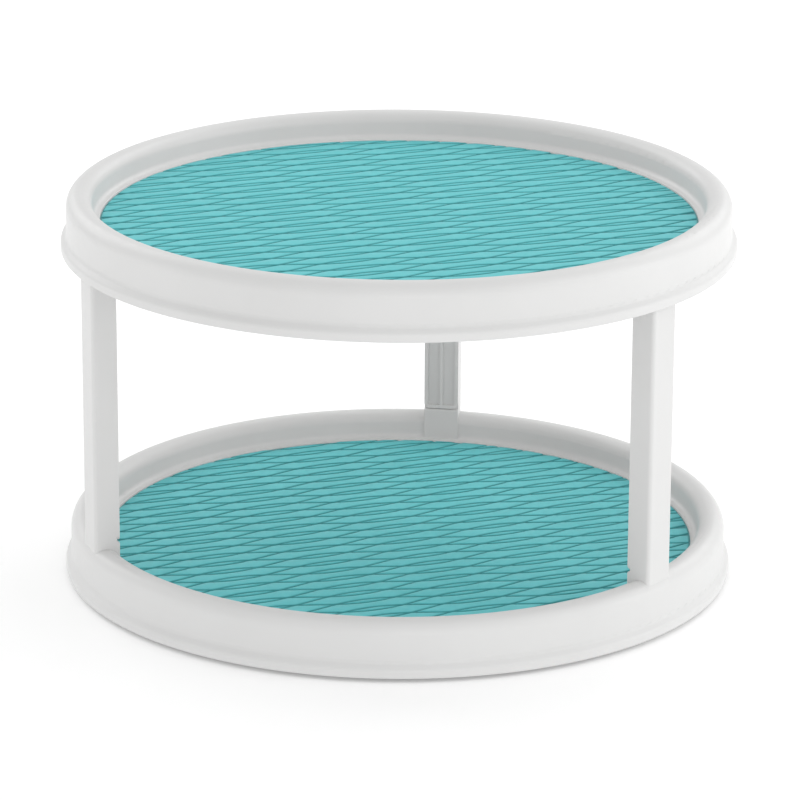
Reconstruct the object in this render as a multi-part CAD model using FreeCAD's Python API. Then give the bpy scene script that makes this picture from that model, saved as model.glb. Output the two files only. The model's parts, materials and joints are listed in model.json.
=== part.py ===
"""Two-tier round turntable: two moulded trays with non-slip mats, three posts and a ball-bearing base.

Frame: origin on the table under the spin axis, +Z up, the back post on +Y.  Lengths are millimetres.
"""
import FreeCAD, Part
import math
import os

V = FreeCAD.Vector
UP = V(0, 0, 1)
CENTRE = V(0, 0, 0)

# ---- driving dimensions -------------------------------------------------------------------------
TRAY_R = 152.4            # outer radius of the band round a tray's skirt: 12 inches across
TIER_PITCH = 151.3        # height from one mat's top face to the other's
LOWER_MAT_Z = 14.4        # top face of the lower mat
UPPER_MAT_Z = LOWER_MAT_Z + TIER_PITCH
MAT_R = 134.7
MAT_THICK = 1.8
MAT_EDGE_ROUND = 0.4
MAT_PLAY = 0.15           # gap between the mat's edge and its recess
FLOOR_THICK = 2.2
FLOOR_DROP = MAT_THICK + FLOOR_THICK
RIM_HEIGHT = 12.4         # rim crest above the mat
SKIRT_DROP = 12.4         # skirt's lower edge below the mat

# Corners of the tray's show side, from the mat recess over the rim to the skirt's lower edge:
# radius, height above the mat's top face, fillet.
SHOW_SIDE = [
    (MAT_R + MAT_PLAY, -MAT_THICK, 0),
    (MAT_R + MAT_PLAY, -0.05, 0.25),
    (137.8, 0.3, 2.4),
    (138.2, RIM_HEIGHT, 5.2),
    (149.9, RIM_HEIGHT, 6.2),
    (149.9, -5.9, 2.5),
    (TRAY_R, -8.6, 2.2),
    (TRAY_R, -SKIRT_DROP, 0.5),
]
# Corners of the hollow underside, from the skirt's lower edge back to the flat floor.
UNDER_R = 150.3
UNDER_SIDE = [
    (UNDER_R, -9.6, 0.8),
    (147.8, -6.9, 0.8),
    (147.7, RIM_HEIGHT - 2.1, 4.1),
    (140.3, RIM_HEIGHT - 2.1, 3.0),
    (140.0, -0.9, 1.5),
    (138.5, -FLOOR_DROP, 0.8),
]

RIB_THICK = 1.4
EMBED = 0.5               # how far a rib is let into the wall that it stiffens
RIM_RIB_COUNT = 24
RIM_RIB_R = (108.0, 149.0)
RIM_RIB_DROP = 8.0        # lower edge of the rim ribs below the mat
RIM_RIB_RISE = 6.0        # how far the rim ribs reach up inside the hollow rim
FLOOR_RIB_COUNT = 12
LOWER_RIB_DROP = 6.0
UPPER_RIB_DROP = 7.0
RING_RIB_R = 108.0
UPPER_RING_RIBS_R = (14.0, 60.0)

POST_COUNT = 3
POST_NAMES = ("post_back", "post_left", "post_right")
POST_WIDTH = 16.5
POST_INNER_R = 136.6      # face turned towards the axis
POST_OUTER_R = 148.1
POST_CORNER = 1.8
POST_FOOT_Z = LOWER_MAT_Z + RIM_HEIGHT + 3.0
POST_SHOULDER_Z = UPPER_MAT_Z - 6.6
FACE_DEPTH = 1.4          # thickness of the post's raised inner face
FACE_ROUND = 2.5          # lower corners of that face
FACE_SEAM = 0.4           # shadow gap under it
FACE_BORDER = 1.7         # plain border round the face's sunk panels
PANEL_DEPTH = 1.2
PANEL_ROUND = 1.0
PEDESTAL_ROUND = 1.0
CORE_WIDTH = 7.7          # hollow core of a post
CORE_R = (141.3, 144.3)
CORE_ROOF = 3.0
TENON_WIDTH = 10.7
TENON_PLAY = 0.2
TENON_LENGTH = 9.2
LOWER_TENON_R = (139.8, 145.8)
UPPER_TENON_R = (142.0, 147.0)
SOCKET_WALL = 1.0         # wall round a post's end inside the upper tray
SOCKET_OUTER_R = 149.2
SOCKET_RISE = 9.0

BALL_COUNT = 12
BALL_R = 3.0
BALL_Z = 7.0
RACE_R = 85.0
RACE_PLAY = 0.05          # clearance between a ball and its groove
RACE_WIDTH = 9.0
RACE_SETBACK = 1.8        # race faces above and below the balls' middles
CAGE_WIDTH = 12.0
CAGE_THICK = 1.6
CAGE_ROUND = 0.4
CAGE_POCKET_PLAY = 0.15

BASE_R = 104.0
BASE_BOTTOM = 2.4
BASE_TOP = 4.4
BASE_RIB_Z = 1.2          # lower edge of the ribs under the base
BASE_RINGS_R = (46.0, 76.0)
BASE_LIP_TOP = 6.4
BASE_LIP_THICK = 2.2
BORE_R = 6.05             # base bore round the tray's pivot boss
BOSS_R = 6.0
BOSS_RIB_GAP = 9.0        # floor ribs stop this far from the boss, clear of the hub
HUB_R = 13.0
HUB_RECESS_R = 11.0
HUB_FLOOR_Z = 6.0
HUB_TOP_Z = 8.8
BOSS_END_Z = 5.7          # 0.3 below the hub's lower face: end play of the bearing

FOOT_COUNT = 6
FOOT_RING_R = 93.0
FOOT_FIRST_ANGLE = 15.0
FOOT_R = 6.5
FOOT_PLAY = 0.1
FOOT_SOCKET_WALL = 1.3

WASHER_R = 9.0
WASHER_BORE_R = 2.0
WASHER_THICK = 0.8
PILOT_R = 1.6             # hole in the pivot boss that the screw cuts its thread in
PILOT_EXTRA = 0.2
SCREW_R = 1.75
SCREW_LENGTH = 6.3
SCREW_HEAD_R = 3.6
SCREW_HEAD_HEIGHT = 2.0
DRIVE_ARM = 4.4           # tip to tip of the cross recess in the screw's head
DRIVE_WIDTH = 0.9
DRIVE_DEPTH = 1.1


# ---- shape helpers ------------------------------------------------------------------------------
def unit(vector):
    """The same direction, with length one."""
    return vector * (1.0 / vector.Length)


def rounded_face(corners, place):
    """Closed flat face through (a, b, fillet) corners; place(a, b) puts a corner in space."""
    points = [place(a, b) for a, b, _ in corners]
    count = len(corners)
    starts, ends, arcs = [], [], []
    for i, (_, _, fillet) in enumerate(corners):
        point = points[i]
        if fillet == 0:
            starts.append(point)
            ends.append(point)
            arcs.append(None)
            continue
        back = unit(points[i - 1] - point)
        ahead = unit(points[(i + 1) % count] - point)
        half = back.getAngle(ahead) / 2
        reach = fillet / math.tan(half)
        inward = unit(back + ahead)
        middle = point + inward * (fillet / math.sin(half) - fillet)
        starts.append(point + back * reach)
        ends.append(point + ahead * reach)
        arcs.append(Part.Arc(starts[-1], middle, ends[-1]).toShape())
    edges = []
    for i in range(count):
        if arcs[i]:
            edges.append(arcs[i])
        edges.append(Part.LineSegment(ends[i], starts[(i + 1) % count]).toShape())
    return Part.Face(Part.Wire(edges))


def turned(corners, lift=0.0):
    """Solid of revolution about +Z from (radius, height, fillet) corners, raised by lift."""
    face = rounded_face(corners, lambda radius, height: V(radius, 0, height + lift))
    return face.revolve(CENTRE, UP, 360)


def ring(inner, outer, low, high):
    """Plain flat ring, or a disc when inner is zero."""
    return turned([(inner, low, 0), (outer, low, 0), (outer, high, 0), (inner, high, 0)])


def block(width, near, far, low, high):
    """Box across +Y: centred on the YZ plane, from radius near to radius far."""
    return Part.makeBox(width, far - near, high - low, V(-width / 2, near, low))


def at_angle(shape, degrees):
    """Copy of a shape turned about +Z."""
    copy = shape.copy()
    copy.rotate(CENTRE, UP, degrees)
    return copy


def spaced(shape, count, first=0.0):
    """Copies of a shape at equal angles round +Z."""
    return [at_angle(shape, first + 360.0 * i / count) for i in range(count)]


def fused(first, others):
    """One clean solid from a shape and the shapes that join it."""
    return first.fuse(others).removeSplitter()


# ---- trays --------------------------------------------------------------------------------------
def tray_envelope(mat_z):
    """Tray filled in solid from its show side down to the skirt's lower edge."""
    corners = [(0, -MAT_THICK, 0)] + SHOW_SIDE + [(0, -SKIRT_DROP, 0)]
    return turned(corners, mat_z)


def tray_hollow(mat_z):
    """Space under a tray's floor and inside its rim."""
    below = -SKIRT_DROP - 1.0
    corners = [(0, below, 0), (UNDER_R, below, 0)] + UNDER_SIDE + [(0, -FLOOR_DROP, 0)]
    return turned(corners, mat_z)


def rim_ribs(mat_z, envelope):
    """Radial ribs that tie the floor, the hollow rim and the skirt together."""
    rib = block(RIB_THICK, *RIM_RIB_R, mat_z - RIM_RIB_DROP, mat_z + RIM_RIB_RISE)
    rib = rib.common(envelope)
    return spaced(rib, RIM_RIB_COUNT, 180.0 / RIM_RIB_COUNT)


def floor_ribs(mat_z, inner, outer, drop):
    """Radial ribs under the flat floor."""
    rib = block(RIB_THICK, inner, outer, mat_z - drop, mat_z - FLOOR_DROP + EMBED)
    return spaced(rib, FLOOR_RIB_COUNT, 180.0 / FLOOR_RIB_COUNT)


def ring_rib(mat_z, radius, drop):
    """Circular rib under the flat floor."""
    low, high = mat_z - drop, mat_z - FLOOR_DROP + EMBED
    return ring(radius - RIB_THICK / 2, radius + RIB_THICK / 2, low, high)


def post_section(near, low, high):
    """Upright bar on +Y with the post's rounded outer corners, from radius near to its outer face."""
    side = POST_WIDTH / 2
    corners = [
        (-side, near, 0),
        (side, near, 0),
        (side, POST_OUTER_R, POST_CORNER),
        (-side, POST_OUTER_R, POST_CORNER),
    ]
    section = rounded_face(corners, lambda across, depth: V(across, depth, low))
    return section.extrude(V(0, 0, high - low))


def pedestal():
    """Seat for a post on the lower rim, flush with the post that stands on it."""
    low = LOWER_MAT_Z - FLOOR_DROP
    seat = post_section(POST_INNER_R, low, POST_FOOT_Z)
    inner_top = [e for e in seat.Edges
                 if abs(e.CenterOfMass.y - POST_INNER_R) < 0.01
                 and abs(e.CenterOfMass.z - POST_FOOT_Z) < 0.01]
    return seat.makeFillet(PEDESTAL_ROUND, inner_top)


def tenon(radii, low, high, play=0.0):
    """Block on +Y filled by a post's tenon, widened all round by play."""
    return block(TENON_WIDTH + 2 * play, radii[0] - play, radii[1] + play, low, high)


def lower_tray():
    """Lower tray: dish, hollow rim, three post seats, ball race and pivot boss."""
    mat_z = LOWER_MAT_Z
    envelope = tray_envelope(mat_z)
    floor_z = mat_z - FLOOR_DROP
    race_inner, race_outer = RACE_R - RACE_WIDTH / 2, RACE_R + RACE_WIDTH / 2
    race = ring(race_inner, race_outer, BALL_Z + RACE_SETBACK, floor_z + EMBED)
    boss = ring(0, BOSS_R, BOSS_END_Z, floor_z + EMBED)
    seats = spaced(pedestal(), POST_COUNT)
    ribs = rim_ribs(mat_z, envelope)
    ribs += floor_ribs(mat_z, BOSS_R + BOSS_RIB_GAP, race_inner + EMBED, LOWER_RIB_DROP)
    ribs.append(ring_rib(mat_z, RING_RIB_R, RIM_RIB_DROP))
    tray = fused(envelope.cut(tray_hollow(mat_z)), [race, boss] + seats + ribs)
    groove = Part.makeTorus(RACE_R, BALL_R + RACE_PLAY, V(0, 0, BALL_Z))
    pilot = Part.makeCylinder(PILOT_R, SCREW_LENGTH - WASHER_THICK + PILOT_EXTRA, V(0, 0, BOSS_END_Z))
    pocket_low = POST_FOOT_Z - TENON_LENGTH - TENON_PLAY
    pocket = tenon(LOWER_TENON_R, pocket_low, POST_FOOT_Z, TENON_PLAY)
    return tray.cut([groove, pilot] + spaced(pocket, POST_COUNT))


def upper_tray():
    """Upper tray: the same dish and rim, with blind sockets for the posts inside the skirt."""
    mat_z = UPPER_MAT_Z
    envelope = tray_envelope(mat_z)
    socket_width = POST_WIDTH + SOCKET_WALL
    socket_near = POST_INNER_R - SOCKET_WALL
    socket = block(socket_width, socket_near, SOCKET_OUTER_R, POST_SHOULDER_Z, mat_z + SOCKET_RISE)
    sockets = spaced(socket.common(envelope), POST_COUNT)
    ribs = rim_ribs(mat_z, envelope)
    ribs += floor_ribs(mat_z, UPPER_RING_RIBS_R[0], RING_RIB_R, UPPER_RIB_DROP)
    ribs += [ring_rib(mat_z, radius, UPPER_RIB_DROP) for radius in UPPER_RING_RIBS_R]
    ribs.append(ring_rib(mat_z, RING_RIB_R, RIM_RIB_DROP))
    tray = fused(envelope.cut(tray_hollow(mat_z)), sockets + ribs)
    pocket_high = POST_SHOULDER_Z + TENON_LENGTH + TENON_PLAY
    pocket = tenon(UPPER_TENON_R, POST_SHOULDER_Z, pocket_high, TENON_PLAY)
    return tray.cut(spaced(pocket, POST_COUNT))


def mat(mat_z):
    """Non-slip mat, a flat disc that fills the tray's recess."""
    corners = [(0, -MAT_THICK, 0), (MAT_R, -MAT_THICK, 0), (MAT_R, 0, MAT_EDGE_ROUND), (0, 0, 0)]
    return turned(corners, mat_z)


# ---- posts --------------------------------------------------------------------------------------
def upright_plate(half_width, low, high, fillets, near, far):
    """Plate across +Y between two radii; fillets are those of its lower and its upper corners."""
    corners = [
        (-half_width, low, fillets[0]),
        (half_width, low, fillets[0]),
        (half_width, high, fillets[1]),
        (-half_width, high, fillets[1]),
    ]
    outline = rounded_face(corners, lambda across, height: V(across, near, height))
    return outline.extrude(V(0, far - near, 0))


def post():
    """Cored post on +Y, with a panelled inner face and a tenon at each end."""
    side = POST_WIDTH / 2
    face_foot = POST_FOOT_Z + FACE_SEAM
    face_back = POST_INNER_R + FACE_DEPTH
    body = post_section(face_back, POST_FOOT_Z, POST_SHOULDER_Z)
    face = upright_plate(side, face_foot, POST_SHOULDER_Z, (FACE_ROUND, 0), POST_INNER_R, face_back + EMBED)
    lower = tenon(LOWER_TENON_R, POST_FOOT_Z - TENON_LENGTH, POST_FOOT_Z + EMBED)
    upper = tenon(UPPER_TENON_R, POST_SHOULDER_Z - EMBED, POST_SHOULDER_Z + TENON_LENGTH)
    solid = fused(body, [face, lower, upper])

    panel_back = POST_INNER_R + PANEL_DEPTH
    panels = upright_plate(side - FACE_BORDER, face_foot + FACE_BORDER, POST_SHOULDER_Z - FACE_BORDER,
                           (PANEL_ROUND, PANEL_ROUND), POST_INNER_R - 1.0, panel_back)
    rib = block(RIB_THICK, POST_INNER_R, panel_back, face_foot, POST_SHOULDER_Z)
    core = block(CORE_WIDTH, *CORE_R, POST_FOOT_Z - TENON_LENGTH, POST_SHOULDER_Z - CORE_ROOF)
    return solid.cut([panels.cut(rib), core])


# ---- base and bearing ---------------------------------------------------------------------------
def base_plate():
    """Round base with the lower ball race, the pivot bore, stiffening ribs and foot sockets."""
    hub = turned([
        (BORE_R, HUB_FLOOR_Z, 0),
        (HUB_RECESS_R, HUB_FLOOR_Z, 0.5),
        (HUB_RECESS_R, BASE_RIB_Z, 0),
        (HUB_R, BASE_RIB_Z, 0.4),
        (HUB_R, HUB_TOP_Z, 0.5),
        (BORE_R, HUB_TOP_Z, 0),
    ])
    plate = ring(HUB_R - EMBED, BASE_R - EMBED, BASE_BOTTOM, BASE_TOP)
    lip = turned([
        (BASE_R - BASE_LIP_THICK, BASE_RIB_Z, 0.4),
        (BASE_R, BASE_RIB_Z, 0.6),
        (BASE_R, BASE_LIP_TOP, 0.6),
        (BASE_R - BASE_LIP_THICK, BASE_LIP_TOP, 0.6),
    ])
    race = ring(RACE_R - RACE_WIDTH / 2, RACE_R + RACE_WIDTH / 2, BASE_BOTTOM, BALL_Z - RACE_SETBACK)
    rib_top = BASE_BOTTOM + EMBED
    radial = block(RIB_THICK, HUB_R - EMBED, BASE_R - BASE_LIP_THICK + EMBED, BASE_RIB_Z, rib_top)
    ribs = spaced(radial, FLOOR_RIB_COUNT)
    for radius in BASE_RINGS_R:
        ribs.append(ring(radius - RIB_THICK / 2, radius + RIB_THICK / 2, BASE_RIB_Z, rib_top))
    socket_r = FOOT_R + FOOT_PLAY
    socket_height = rib_top - BASE_RIB_Z
    socket = Part.makeCylinder(socket_r + FOOT_SOCKET_WALL, socket_height, V(0, FOOT_RING_R, BASE_RIB_Z))
    sockets = spaced(socket, FOOT_COUNT, FOOT_FIRST_ANGLE)
    well = Part.makeCylinder(socket_r, BASE_BOTTOM, V(0, FOOT_RING_R, 0))
    groove = Part.makeTorus(RACE_R, BALL_R + RACE_PLAY, V(0, 0, BALL_Z))
    plate = fused(plate, [hub, lip, race] + ribs + sockets)
    return plate.cut([groove] + spaced(well, FOOT_COUNT, FOOT_FIRST_ANGLE))


def foot():
    """Rubber foot pad on +Y, its face on the table."""
    pad = turned([(0, 0, 0), (FOOT_R, 0, 0.5), (FOOT_R, BASE_BOTTOM, 0), (0, BASE_BOTTOM, 0)])
    pad.translate(V(0, FOOT_RING_R, 0))
    return pad


def ball():
    """Bearing ball on +Y."""
    return Part.makeSphere(BALL_R, V(0, RACE_R, BALL_Z))


def ball_cage():
    """Flat ring with a pocket for each ball."""
    low = BALL_Z - CAGE_THICK / 2
    high = BALL_Z + CAGE_THICK / 2
    inner = RACE_R - CAGE_WIDTH / 2
    outer = RACE_R + CAGE_WIDTH / 2
    corners = [(inner, low), (outer, low), (outer, high), (inner, high)]
    flat = turned([(radius, height, CAGE_ROUND) for radius, height in corners])
    pocket = Part.makeCylinder(BALL_R + CAGE_POCKET_PLAY, 2 * CAGE_THICK, V(0, RACE_R, BALL_Z - CAGE_THICK))
    return flat.cut(spaced(pocket, BALL_COUNT))


def washer():
    """Retaining washer under the pivot boss."""
    return ring(WASHER_BORE_R, WASHER_R, BOSS_END_Z - WASHER_THICK, BOSS_END_Z)


def pivot_screw():
    """Pan-head screw driven up into the pivot boss."""
    head_top = BOSS_END_Z - WASHER_THICK
    head_low = head_top - SCREW_HEAD_HEIGHT
    screw = turned([
        (0, head_low, 0),
        (SCREW_HEAD_R, head_low, 1.2),
        (SCREW_HEAD_R, head_top, 0),
        (SCREW_R, head_top, 0),
        (SCREW_R, head_top + SCREW_LENGTH, 0.3),
        (0, head_top + SCREW_LENGTH, 0),
    ])
    arm = Part.makeBox(DRIVE_ARM, DRIVE_WIDTH, DRIVE_DEPTH, V(-DRIVE_ARM / 2, -DRIVE_WIDTH / 2, head_low))
    return screw.cut([arm, at_angle(arm, 90)])


# ---- assembly -----------------------------------------------------------------------------------
def all_nodes():
    """Every piece of the turntable by name."""
    nodes = {
        "lower_tray": lower_tray(),
        "upper_tray": upper_tray(),
        "lower_mat": mat(LOWER_MAT_Z),
        "upper_mat": mat(UPPER_MAT_Z),
        "base_plate": base_plate(),
        "ball_cage": ball_cage(),
        "pivot_washer": washer(),
        "pivot_screw": pivot_screw(),
    }
    for name, shape in zip(POST_NAMES, spaced(post(), POST_COUNT)):
        nodes[name] = shape
    for i, shape in enumerate(spaced(foot(), FOOT_COUNT, FOOT_FIRST_ANGLE), start=1):
        nodes[f"foot_{i}"] = shape
    for i, shape in enumerate(spaced(ball(), BALL_COUNT), start=1):
        nodes[f"ball_{i:02d}"] = shape
    return nodes


def main():
    os.makedirs("parts", exist_ok=True)
    for name, shape in all_nodes().items():
        solids = shape.Solids
        if len(solids) != 1 or not shape.isValid():
            raise ValueError(f"{name}: {len(solids)} solids, valid {shape.isValid()}")
        solids[0].exportStep(f"parts/{name}.step")
        box = shape.BoundBox
        print(f"{name:14s} {shape.Volume / 1000:8.2f} cm3   z {box.ZMin:7.2f} to {box.ZMax:7.2f}")


main()
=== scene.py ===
"""Looks of the two-tier turntable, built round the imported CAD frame.  Lengths are metres."""

import json
import math

import bpy
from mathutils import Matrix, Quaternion, Vector


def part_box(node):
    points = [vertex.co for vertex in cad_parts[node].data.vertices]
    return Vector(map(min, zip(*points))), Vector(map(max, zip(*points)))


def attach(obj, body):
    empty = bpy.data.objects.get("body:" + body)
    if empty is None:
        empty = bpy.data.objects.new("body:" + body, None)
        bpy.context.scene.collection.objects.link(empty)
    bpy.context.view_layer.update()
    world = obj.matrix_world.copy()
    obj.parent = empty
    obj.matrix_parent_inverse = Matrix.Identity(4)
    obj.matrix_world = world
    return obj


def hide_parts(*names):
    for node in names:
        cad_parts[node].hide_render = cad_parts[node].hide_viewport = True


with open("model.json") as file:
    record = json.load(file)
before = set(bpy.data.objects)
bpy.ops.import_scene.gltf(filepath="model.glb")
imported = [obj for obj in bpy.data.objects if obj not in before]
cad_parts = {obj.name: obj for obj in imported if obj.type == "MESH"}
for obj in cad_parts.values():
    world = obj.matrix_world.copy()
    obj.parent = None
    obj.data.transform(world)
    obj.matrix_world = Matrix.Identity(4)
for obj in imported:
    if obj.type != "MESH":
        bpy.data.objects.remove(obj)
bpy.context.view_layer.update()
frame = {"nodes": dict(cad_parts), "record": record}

MM = 0.001


# ---- mesh helpers -------------------------------------------------------------------------------
def mesh_piece(name, points, faces, material):
    """New smooth-shaded mesh object from points in metres."""
    mesh = bpy.data.meshes.new(name)
    mesh.from_pydata(points, [], faces)
    mesh.validate()
    mesh.shade_smooth()
    mesh.materials.append(material)
    piece = bpy.data.objects.new(name, mesh)
    bpy.context.scene.collection.objects.link(piece)
    return piece


def lathe(profile, segments):
    """Points and faces of a closed outline of (radius, height) pairs turned about the spin axis.

    The outline starts and ends on the axis.
    """
    points = [(0.0, 0.0, profile[0][1])]
    for radius, height in profile[1:-1]:
        for i in range(segments):
            angle = 2 * math.pi * i / segments
            points.append((radius * math.cos(angle), radius * math.sin(angle), height))
    points.append((0.0, 0.0, profile[-1][1]))
    last = len(points) - 1
    rings = len(profile) - 2
    faces = []
    for i in range(segments):
        j = (i + 1) % segments
        faces.append((0, 1 + j, 1 + i))
        for ring in range(rings - 1):
            low = 1 + ring * segments
            high = low + segments
            faces.append((low + i, low + j, high + j, high + i))
        top = 1 + (rings - 1) * segments
        faces.append((top + i, top + j, last))
    return points, faces


# ---- materials ----------------------------------------------------------------------------------
def surface(name, roughness, metallic=0.0, ior=1.5):
    """New Principled material with its plain numbers set on the shader itself."""
    material = bpy.data.materials.new(name)
    material.use_nodes = True
    shader = material.node_tree.nodes["Principled BSDF"]
    shader.inputs["Roughness"].default_value = roughness
    shader.inputs["Metallic"].default_value = metallic
    shader.inputs["IOR"].default_value = ior
    return material


def noise(material, scale, detail=3.0):
    """Noise texture output over the piece's own space; scale is in cells per metre."""
    nodes, links = material.node_tree.nodes, material.node_tree.links
    place = nodes.new("ShaderNodeTexCoord")
    texture = nodes.new("ShaderNodeTexNoise")
    texture.inputs["Scale"].default_value = scale
    texture.inputs["Detail"].default_value = detail
    links.new(place.outputs["Object"], texture.inputs["Vector"])
    return texture.outputs["Fac"]


NOISE_LOW, NOISE_HIGH = 0.3, 0.7   # where nearly all of a noise texture's values lie


def spread(material, value, low, high, socket):
    """Map a noise value onto low to high and link it to a shader socket."""
    nodes, links = material.node_tree.nodes, material.node_tree.links
    scale = nodes.new("ShaderNodeMapRange")
    scale.inputs["From Min"].default_value = NOISE_LOW
    scale.inputs["From Max"].default_value = NOISE_HIGH
    scale.inputs["To Min"].default_value = low
    scale.inputs["To Max"].default_value = high
    links.new(value, scale.inputs["Value"])
    links.new(scale.outputs["Result"], nodes["Principled BSDF"].inputs[socket])


def tint(material, value, dark, light):
    """Base colour that drifts between two colours with a noise value."""
    nodes, links = material.node_tree.nodes, material.node_tree.links
    ramp = nodes.new("ShaderNodeValToRGB")
    ramp.color_ramp.elements[0].position = NOISE_LOW
    ramp.color_ramp.elements[0].color = (*dark, 1)
    ramp.color_ramp.elements[1].position = NOISE_HIGH
    ramp.color_ramp.elements[1].color = (*light, 1)
    links.new(value, ramp.inputs["Fac"])
    links.new(ramp.outputs["Color"], nodes["Principled BSDF"].inputs["Base Color"])


def bumps(material, *layers):
    """Bump layers on the shader's normal, each (noise value, height in metres)."""
    nodes, links = material.node_tree.nodes, material.node_tree.links
    normal = None
    for value, height in layers:
        bump = nodes.new("ShaderNodeBump")
        bump.inputs["Strength"].default_value = 1.0
        bump.inputs["Distance"].default_value = height
        links.new(value, bump.inputs["Height"])
        if normal:
            links.new(normal, bump.inputs["Normal"])
        normal = bump.outputs["Normal"]
    links.new(normal, nodes["Principled BSDF"].inputs["Normal"])


def white_plastic():
    """Satin white polypropylene: fine spark-eroded grain and the slow waviness of a moulded wall."""
    material = surface("white_polypropylene", 0.4, ior=1.49)
    tint(material, noise(material, 18), (0.72, 0.72, 0.715), (0.745, 0.745, 0.74))
    spread(material, noise(material, 260), 0.34, 0.44, "Roughness")
    bumps(material, (noise(material, 3200, 2), 6e-6), (noise(material, 45), 2.5e-5))
    return material


TEAL_DARK = (0.104, 0.57, 0.6)
TEAL_LIGHT = (0.122, 0.61, 0.645)
TEAL_GROOVE_SHADE = (0.05, 0.34, 0.365)
GROOVE_SHADE_DEPTHS = (0.45 * MM, 0.1 * MM)   # depths where the painted groove shade is full, and where it begins


def teal_mat(name, top):
    """Thermoplastic elastomer: dense teal with a dry, slightly mottled skin, with painted shade that dims
    it down in the grooves.
    """
    material = surface(name, 0.5, ior=1.48)
    tint(material, noise(material, 60, 4), TEAL_DARK, TEAL_LIGHT)
    spread(material, noise(material, 420), 0.42, 0.56, "Roughness")
    bumps(material, (noise(material, 2600, 3), 1.2e-5), (noise(material, 110), 2e-5))
    # Painted shade: the base colour darkens towards the groove shade colour with depth below the mat's top.
    nodes, links = material.node_tree.nodes, material.node_tree.links
    place = nodes.new("ShaderNodeTexCoord")
    split = nodes.new("ShaderNodeSeparateXYZ")
    height = nodes.new("ShaderNodeMapRange")
    height.inputs["From Min"].default_value = top - GROOVE_SHADE_DEPTHS[0]
    height.inputs["From Max"].default_value = top - GROOVE_SHADE_DEPTHS[1]
    blend = nodes.new("ShaderNodeMix")
    blend.data_type = "RGBA"
    share, groove, skin = blend.inputs[0], blend.inputs[6], blend.inputs[7]
    groove.default_value = (*TEAL_GROOVE_SHADE, 1)
    base_colour = nodes["Principled BSDF"].inputs["Base Color"]
    links.new(place.outputs["Object"], split.inputs["Vector"])
    links.new(split.outputs["Z"], height.inputs["Value"])
    links.new(height.outputs["Result"], share)
    links.new(base_colour.links[0].from_socket, skin)
    links.new(blend.outputs[2], base_colour)
    return material


def foot_rubber():
    """Dark grey rubber, matt with a dusty bloom."""
    material = surface("foot_rubber", 0.75, ior=1.5)
    tint(material, noise(material, 300), (0.035, 0.036, 0.038), (0.07, 0.07, 0.072))
    spread(material, noise(material, 900), 0.65, 0.85, "Roughness")
    bumps(material, (noise(material, 3500, 2), 1.5e-5))
    return material


def bearing_steel():
    """Polished ball, with the faint haze of oil."""
    material = surface("bearing_steel", 0.12, metallic=1.0)
    tint(material, noise(material, 250), (0.52, 0.53, 0.55), (0.62, 0.63, 0.65))
    spread(material, noise(material, 700), 0.08, 0.2, "Roughness")
    bumps(material, (noise(material, 5000, 2), 1e-6))
    return material


def plated_steel():
    """Zinc-plated steel, dull and slightly uneven."""
    material = surface("zinc_plated_steel", 0.35, metallic=1.0)
    tint(material, noise(material, 400), (0.5, 0.5, 0.47), (0.63, 0.63, 0.6))
    spread(material, noise(material, 1500), 0.28, 0.45, "Roughness")
    bumps(material, (noise(material, 4000, 2), 3e-6))
    return material


def cage_plastic():
    """Unpigmented nylon, faintly yellow."""
    material = surface("natural_nylon", 0.45, ior=1.53)
    tint(material, noise(material, 50), (0.66, 0.62, 0.52), (0.72, 0.69, 0.6))
    spread(material, noise(material, 500), 0.38, 0.52, "Roughness")
    bumps(material, (noise(material, 2500, 2), 6e-6))
    return material


# ---- mats ---------------------------------------------------------------------------------------
# The net is two families of sine-shaped grooves.  Both run along the same slanting line and mirror
# each other, so they cross and leave two shapes of raised cell: a thin lens and a long waisted bone.
# Net sizes are millimetres.
NET_TURN = math.radians(29.5)   # the grooves' mean direction from +X
NET_WAVE = 89.6                 # length of one wave
NET_PITCH = 10.25               # spacing of one family's grooves
NET_SWING = 4.5                 # height of a wave above its middle
GROOVE_DEPTH = 0.8
# A cell's outline steps in from the groove's middle as it rises: (inset, depth below the top).
CELL_STEPS = ((0.5, 0.85), (0.62, 0.4), (0.86, 0.2), (1.35, 0.09))
CLEAR_EDGE = 0.02               # a cell is kept where it is wider than its top's inset by this
LENS_STATIONS = 14              # steps along a cell, by its kind
BONE_STATIONS = 30
EDGE_STATIONS = 56              # steps along a cell that the mat's border cuts
SPAN_SAMPLES = 120              # points tried along a cell, to find where it is open
HALVINGS = 24                   # steps in closing in on a cell's tip
MAT_SEGMENTS = 256
MAT_SETBACK = 0.05              # the looks stay this far inside the CAD mat's radius
BOTTOM_BEVEL = 0.3
FLOOR_BEVEL = 0.1


class Cell:
    """One raised cell, as the span between a lower and an upper curve along the net's direction."""

    def __init__(self, kind, column, row, mat_radius):
        self.kind = kind
        self.middle = column * NET_WAVE / 2
        self.base = (row + (0.5 if column % 2 else 0.0)) * NET_PITCH
        self.mat_radius = mat_radius

    def curves(self, along, inset, shift):
        """Lower and upper limit across the net at a distance along it; shift is the net's own offset."""
        angle = 2 * math.pi * (along - self.middle) / NET_WAVE
        swing = NET_SWING * math.cos(angle)
        slope = 2 * math.pi * NET_SWING / NET_WAVE * math.sin(angle)
        step = inset * math.hypot(1, slope)
        crest = self.base + swing
        trough = self.base + NET_PITCH / 2 - swing
        if self.kind == "lens":
            low, high = trough + step, crest - step
        else:
            low = max(crest, trough) + step
            high = min(crest, trough) + NET_PITCH - step
        reach = self.mat_radius - inset
        chord = reach * reach - (along + shift[0]) ** 2
        if chord <= 0:
            return low, low - 1.0
        half = math.sqrt(chord)
        return max(low, -half - shift[1]), min(high, half - shift[1])


def gap(cell, along, inset, shift):
    """Width of a cell across the net; not above zero where the cell is closed."""
    low, high = cell.curves(along, inset, shift)
    return high - low


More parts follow.
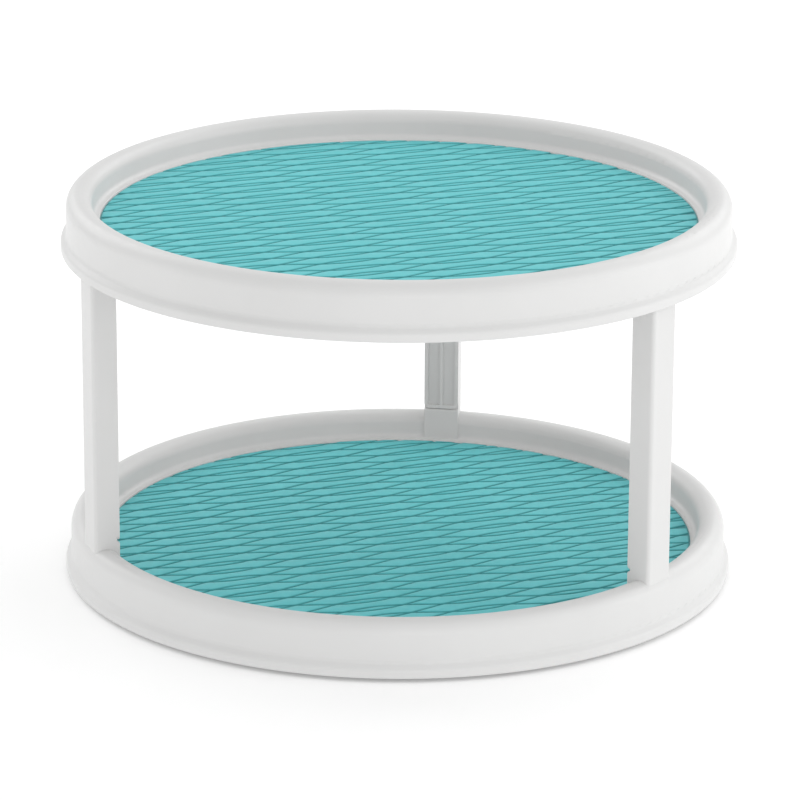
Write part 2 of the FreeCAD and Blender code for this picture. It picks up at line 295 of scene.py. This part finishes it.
def edge_between(cell, inside, outside, inset, shift):
    """Where a cell's gap closes between a point inside it and a point outside it."""
    for _ in range(HALVINGS):
        middle = (inside + outside) / 2
        if gap(cell, middle, inset, shift) > 0:
            inside = middle
        else:
            outside = middle
    return inside


def spans(cell, shift):
    """Stretches along the net where a cell is open at its largest inset."""
    inset = CELL_STEPS[-1][0] + CLEAR_EDGE
    half = NET_WAVE * (0.25 if cell.kind == "lens" else 0.4)
    found, run = [], []
    for i in range(SPAN_SAMPLES + 1):
        along = cell.middle - half + 2 * half * i / SPAN_SAMPLES
        if gap(cell, along, inset, shift) > 0:
            run.append(along)
        elif run:
            found.append(run)
            run = []
    if run:
        found.append(run)
    return [run for run in found if len(run) > 2]


def cell_rings(cell, run, shift, stations):
    """Outline rings of one raised cell from the groove floor to the top, and its crowned spine."""
    middle = run[len(run) // 2]
    rings = []
    for inset, depth in CELL_STEPS:
        start = edge_between(cell, middle, run[0] - NET_WAVE / 8, inset, shift)
        end = edge_between(cell, middle, run[-1] + NET_WAVE / 8, inset, shift)
        lower, upper = [], []
        for i in range(stations + 1):
            along = start + (end - start) * i / stations
            low, high = cell.curves(along, inset, shift)
            if i in (0, stations):
                low = high = (low + high) / 2
            lower.append((along, low, -depth))
            upper.append((along, high, -depth))
        rings.append((lower, upper))
    lower, upper = rings[-1]
    spine = [(a[0], (a[1] + b[1]) / 2, 0.0) for a, b in zip(lower, upper)]
    return rings, spine


def add_cell(points, faces, rings, spine, stations):
    """Append one closed raised cell to the lists of points and faces."""
    starts = []
    for lower, upper in rings:
        starts.append(len(points))
        points.extend(lower)
        points.extend(upper[stations - 1:0:-1])
    ring_size = 2 * stations
    for low, high in zip(starts, starts[1:]):
        for i in range(ring_size):
            j = (i + 1) % ring_size
            faces.append((low + i, low + j, high + j, high + i))
    floor, top = starts[0], starts[-1]
    middle = len(points) - 1
    points.extend(spine[1:-1])

    def upper_index(start, i):
        return start + ring_size - i if i else start

    for start, is_top in ((floor, False), (top, True)):
        for i in range(stations):
            low_a, low_b = start + i, start + i + 1
            high_a, high_b = upper_index(start, i), upper_index(start, i + 1)
            if not is_top:
                face = (low_a, high_a, high_b, low_b)
                faces.append(tuple(dict.fromkeys(face)))
                continue
            mid_a = low_a if i == 0 else middle + i
            mid_b = low_b if i == stations - 1 else middle + i + 1
            faces.append(tuple(dict.fromkeys((low_a, low_b, mid_b, mid_a))))
            faces.append(tuple(dict.fromkeys((mid_a, mid_b, high_b, high_a))))


def net_cells(radius, shift):
    """Points and faces of every raised cell on a mat, in the net's own directions, in millimetres."""
    points, faces = [], []
    columns = math.ceil(2 * radius / NET_WAVE) + 2
    rows = math.ceil(radius / NET_PITCH) + 3
    for column in range(-columns, columns + 1):
        for row in range(-rows, rows + 1):
            for kind, stations in (("lens", LENS_STATIONS), ("bone", BONE_STATIONS)):
                cell = Cell(kind, column, row, radius)
                centre = math.hypot(cell.middle + shift[0], cell.base + shift[1])
                if centre > radius + NET_WAVE / 2:
                    continue
                inner = centre < radius - NET_WAVE * 0.4
                for run in spans(cell, shift):
                    count = stations if inner else EDGE_STATIONS
                    rings, spine = cell_rings(cell, run, shift, count)
                    add_cell(points, faces, rings, spine, count)
    return points, faces


def build_mat(node, shift):
    """Mat with its engraved net: a round sheet that carries the raised cells."""
    low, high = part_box(node)
    radius = (high.x - low.x) / 2 / MM
    top = high.z
    material = teal_mat(node + "_elastomer", top)
    edge = radius - MAT_SETBACK
    floor = -GROOVE_DEPTH
    bottom = (low.z - high.z) / MM
    profile = [
        (0, bottom),
        (edge - BOTTOM_BEVEL, bottom),
        (edge, bottom + BOTTOM_BEVEL),
        (edge, floor - FLOOR_BEVEL),
        (edge - FLOOR_BEVEL, floor),
        (0, floor),
    ]
    points, faces = lathe([(r * MM, top + h * MM) for r, h in profile], MAT_SEGMENTS)
    cell_points, cell_faces = net_cells(edge, shift)
    cos, sin = math.cos(NET_TURN), math.sin(NET_TURN)
    first = len(points)
    for along, across, height in cell_points:
        u, n = along + shift[0], across + shift[1]
        points.append(((u * cos - n * sin) * MM, (u * sin + n * cos) * MM, top + height * MM))
    faces += [tuple(first + i for i in face) for face in cell_faces]
    mat = mesh_piece(node + "_net", points, faces, material)
    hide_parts(node)
    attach(mat, "turntable")
    # The white parts stay neutral beside the mats: no teal light is thrown onto them.
    mat.visible_diffuse = False


# ---- studio -------------------------------------------------------------------------------------
VIEW_TURN = math.radians(8.8)       # camera's bearing round the spin axis from -Y
CAMERA_DISTANCE = 1.9632
CAMERA_HEIGHT = 0.7200
CAMERA_ROLL = math.radians(0.3)
AIM = Vector((0.00077, 0.00012, 0.0785))
LENS_MM = 203.56


def around(distance, angle, height):
    """Point by its distance from the spin axis and its angle round it, counted from the camera's side."""
    bearing = VIEW_TURN + math.radians(angle)
    return Vector((distance * math.sin(bearing), -distance * math.cos(bearing), height))


def facing(place, target):
    """Turn that points an object's -Z from a place to a target."""
    return (place - target).to_track_quat("Z", "Y")


def add_camera():
    """Camera at the bearing, height and roll of the studio view."""
    data = bpy.data.cameras.new("camera")
    data.sensor_width = 36
    data.lens = LENS_MM
    data.clip_end = 60
    camera = bpy.data.objects.new("camera", data)
    bpy.context.scene.collection.objects.link(camera)
    camera.location = around(CAMERA_DISTANCE, 0, CAMERA_HEIGHT)
    turn = facing(camera.location, AIM) @ Quaternion((0, 0, 1), CAMERA_ROLL)
    camera.rotation_euler = turn.to_euler()
    bpy.context.scene.camera = camera


# Softboxes round the turntable: distance, angle from the camera's side, height, width, watts.
SOFTBOXES = {
    "right": (1.6, 70, 0.9, 1.2, 4.5),
    "back_left": (1.7, -140, 1.1, 1.2, 7.5),
    "back_right": (1.7, 140, 1.1, 1.2, 6.8),
    "front": (2.2, 8, 0.32, 0.5, 3.0),
    "low_right": (1.6, 90, 0.35, 0.6, 1.8),
    "low_left": (1.6, -90, 0.35, 0.6, 0.8),
}
LIGHT_TARGET = Vector((0, 0, 0.09))
ROOM_LIGHT = 0.76
FLOOR_GLOW = 0.17
FLOOR_RADIUS = 14
FLOOR_THICK = 0.02


def add_softbox(name, distance, angle, height, width, watts):
    """Square area light turned to the middle of the turntable."""
    data = bpy.data.lights.new(name, "AREA")
    data.shape = "SQUARE"
    data.size = width
    data.energy = watts
    light = bpy.data.objects.new(name, data)
    bpy.context.scene.collection.objects.link(light)
    light.location = around(distance, angle, height)
    light.rotation_euler = facing(light.location, LIGHT_TARGET).to_euler()


def floor_acrylic():
    """White acrylic table, lit a little from behind."""
    material = surface("floor_acrylic", 0.9)
    tint(material, noise(material, 2), (0.95, 0.95, 0.95), (0.965, 0.965, 0.965))
    shader = material.node_tree.nodes["Principled BSDF"]
    shader.inputs["Specular IOR Level"].default_value = 0.0
    shader.inputs["Emission Color"].default_value = (1, 1, 1, 1)
    shader.inputs["Emission Strength"].default_value = FLOOR_GLOW
    return material


def add_studio():
    """Room light, floor and softboxes."""
    scene = bpy.context.scene
    scene.view_settings.view_transform = "Standard"
    world = bpy.data.worlds.new("studio")
    world.use_nodes = True
    background = world.node_tree.nodes["Background"]
    background.inputs["Color"].default_value = (1, 1, 1, 1)
    background.inputs["Strength"].default_value = ROOM_LIGHT
    scene.world = world
    disc = [(0, -FLOOR_THICK), (FLOOR_RADIUS, -FLOOR_THICK), (FLOOR_RADIUS, 0), (0, 0)]
    floor = mesh_piece("floor", *lathe(disc, 64), floor_acrylic())
    for name, numbers in SOFTBOXES.items():
        add_softbox(name, *numbers)


# ---- build --------------------------------------------------------------------------------------
# Each net's offset from the spin axis, along and across its own direction, in millimetres.
LOWER_SHIFT = (0.1, 6.2)
UPPER_SHIFT = (-0.6, 4.5)

plastic = white_plastic()
finishes = {
    "white_plastic": plastic,
    "foot_rubber": foot_rubber(),
    "bearing_steel": bearing_steel(),
    "plated_steel": plated_steel(),
    "cage_plastic": cage_plastic(),
}
# The mats' slot has no finish here, because build_mat replaces both mats and makes their material.
for part in frame["record"]["subparts"]:
    node = frame["nodes"][part["node"]]
    if part["material_slot"] in finishes:
        node.material_slots[0].material = finishes[part["material_slot"]]

build_mat("lower_mat", LOWER_SHIFT)
build_mat("upper_mat", UPPER_SHIFT)
add_studio()
add_camera()
